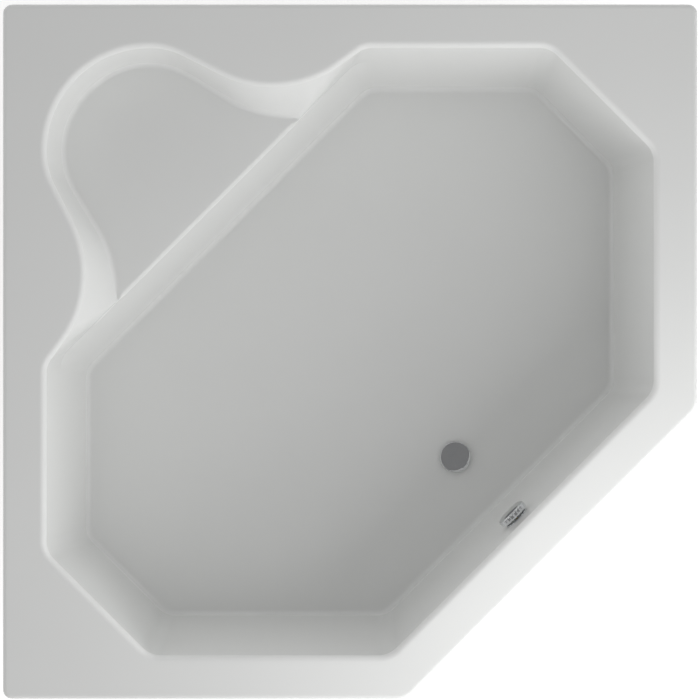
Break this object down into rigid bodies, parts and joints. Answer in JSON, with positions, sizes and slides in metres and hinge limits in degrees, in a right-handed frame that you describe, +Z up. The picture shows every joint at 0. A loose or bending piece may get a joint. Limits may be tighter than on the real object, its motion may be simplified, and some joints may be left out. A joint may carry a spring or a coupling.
{
  "type": "corner bathtub",
  "caption": "Acrylic corner bathtub with a cut front edge, a raised corner seat, lifting drain plug, overflow knob and a levelling support frame.",
  "frame": {"origin": "middle of the square outline, on the floor under the feet", "axes": "+Z up; the two wall sides lie towards -X and +Y, the cut front edge faces +X and -Y"},
  "size_m": [1.5, 1.5, 0.64],
  "materials": {
    "acrylic": "polished white acrylic sheet, backed with glass fibre",
    "board": "raw chipboard",
    "frame_paint": "grey powder coat",
    "zinc_steel": "bright zinc plate",
    "black_plastic": "moulded black plastic",
    "chrome": "polished chrome plate",
    "rubber": "black moulded rubber",
    "white_plastic": "white polypropylene",
    "brass": "turned brass",
    "cable_jacket": "black cable jacket"
  },
  "bodies": {
    "tub": {"tub_shell": "acrylic", "base_board": "board", "seat_board": "board", "main_beam": "frame_paint", "rear_spine": "frame_paint", "front_beam": "frame_paint", "side_rail_left": "frame_paint", "side_rail_right": "frame_paint", "upright_rear": "frame_paint", "upright_left": "frame_paint", "upright_right": "frame_paint", "upright_front_left": "frame_paint", "upright_front_right": "frame_paint", "seat_post": "frame_paint", "base_screws": "zinc_steel", "foot_nuts": "zinc_steel", "wall_bracket_left_rear": "zinc_steel", "wall_bracket_left_front": "zinc_steel", "wall_bracket_back_rear": "zinc_steel", "wall_bracket_back_front": "zinc_steel", "post_caps": "black_plastic", "tube_plugs": "black_plastic", "drain_flange": "chrome", "overflow_rosette": "chrome", "drain_gasket_upper": "rubber", "drain_gasket_lower": "rubber", "overflow_gasket": "rubber", "drain_body": "white_plastic", "overflow_elbow": "white_plastic", "overflow_pipe": "white_plastic", "trap_body": "white_plastic", "outlet_pipe": "white_plastic", "pipe_nut_upper": "white_plastic", "pipe_nut_lower": "white_plastic", "trap_inlet_nut": "white_plastic", "trap_outlet_nut": "white_plastic", "bowden_cable": "cable_jacket"},
    "foot_rear": {"foot_stud_rear": "zinc_steel", "foot_pad_rear": "black_plastic"},
    "foot_left": {"foot_stud_left": "zinc_steel", "foot_pad_left": "black_plastic"},
    "foot_right": {"foot_stud_right": "zinc_steel", "foot_pad_right": "black_plastic"},
    "foot_front_left": {"foot_stud_front_left": "zinc_steel", "foot_pad_front_left": "black_plastic"},
    "foot_front_right": {"foot_stud_front_right": "zinc_steel", "foot_pad_front_right": "black_plastic"},
    "foot_centre": {"foot_stud_centre": "zinc_steel", "foot_pad_centre": "black_plastic"},
    "plug": {"plug_cap": "chrome", "plug_seal": "rubber", "plug_stem": "brass"},
    "knob": {"overflow_knob": "chrome", "overflow_spindle": "brass"}
  },
  "joints": [
    {"name": "foot_rear_height", "type": "slide", "parent": "tub", "child": "foot_rear", "axis": [0, 0, 1], "range_m": [0, 0.02]},
    {"name": "foot_left_height", "type": "slide", "parent": "tub", "child": "foot_left", "axis": [0, 0, 1], "range_m": [0, 0.02]},
    {"name": "foot_right_height", "type": "slide", "parent": "tub", "child": "foot_right", "axis": [0, 0, 1], "range_m": [0, 0.02]},
    {"name": "foot_front_left_height", "type": "slide", "parent": "tub", "child": "foot_front_left", "axis": [0, 0, 1], "range_m": [0, 0.02]},
    {"name": "foot_front_right_height", "type": "slide", "parent": "tub", "child": "foot_front_right", "axis": [0, 0, 1], "range_m": [0, 0.02]},
    {"name": "foot_centre_height", "type": "slide", "parent": "tub", "child": "foot_centre", "axis": [0, 0, 1], "range_m": [0, 0.02]},
    {"name": "knob_turn", "type": "hinge", "parent": "tub", "child": "knob", "pos_m": [0.36727, -0.36727, 0.55], "axis": [-0.7062, 0.7062, 0.0511], "range_deg": [0, 90]},
    {"name": "plug_lift", "type": "slide", "parent": "tub", "child": "plug", "axis": [0, 0, 1], "range_m": [0, 0.012]}
  ],
  "couplings": [
    {"joint": "plug_lift", "follows": "knob_turn", "m_per_rad": 0.00763}
  ]
}
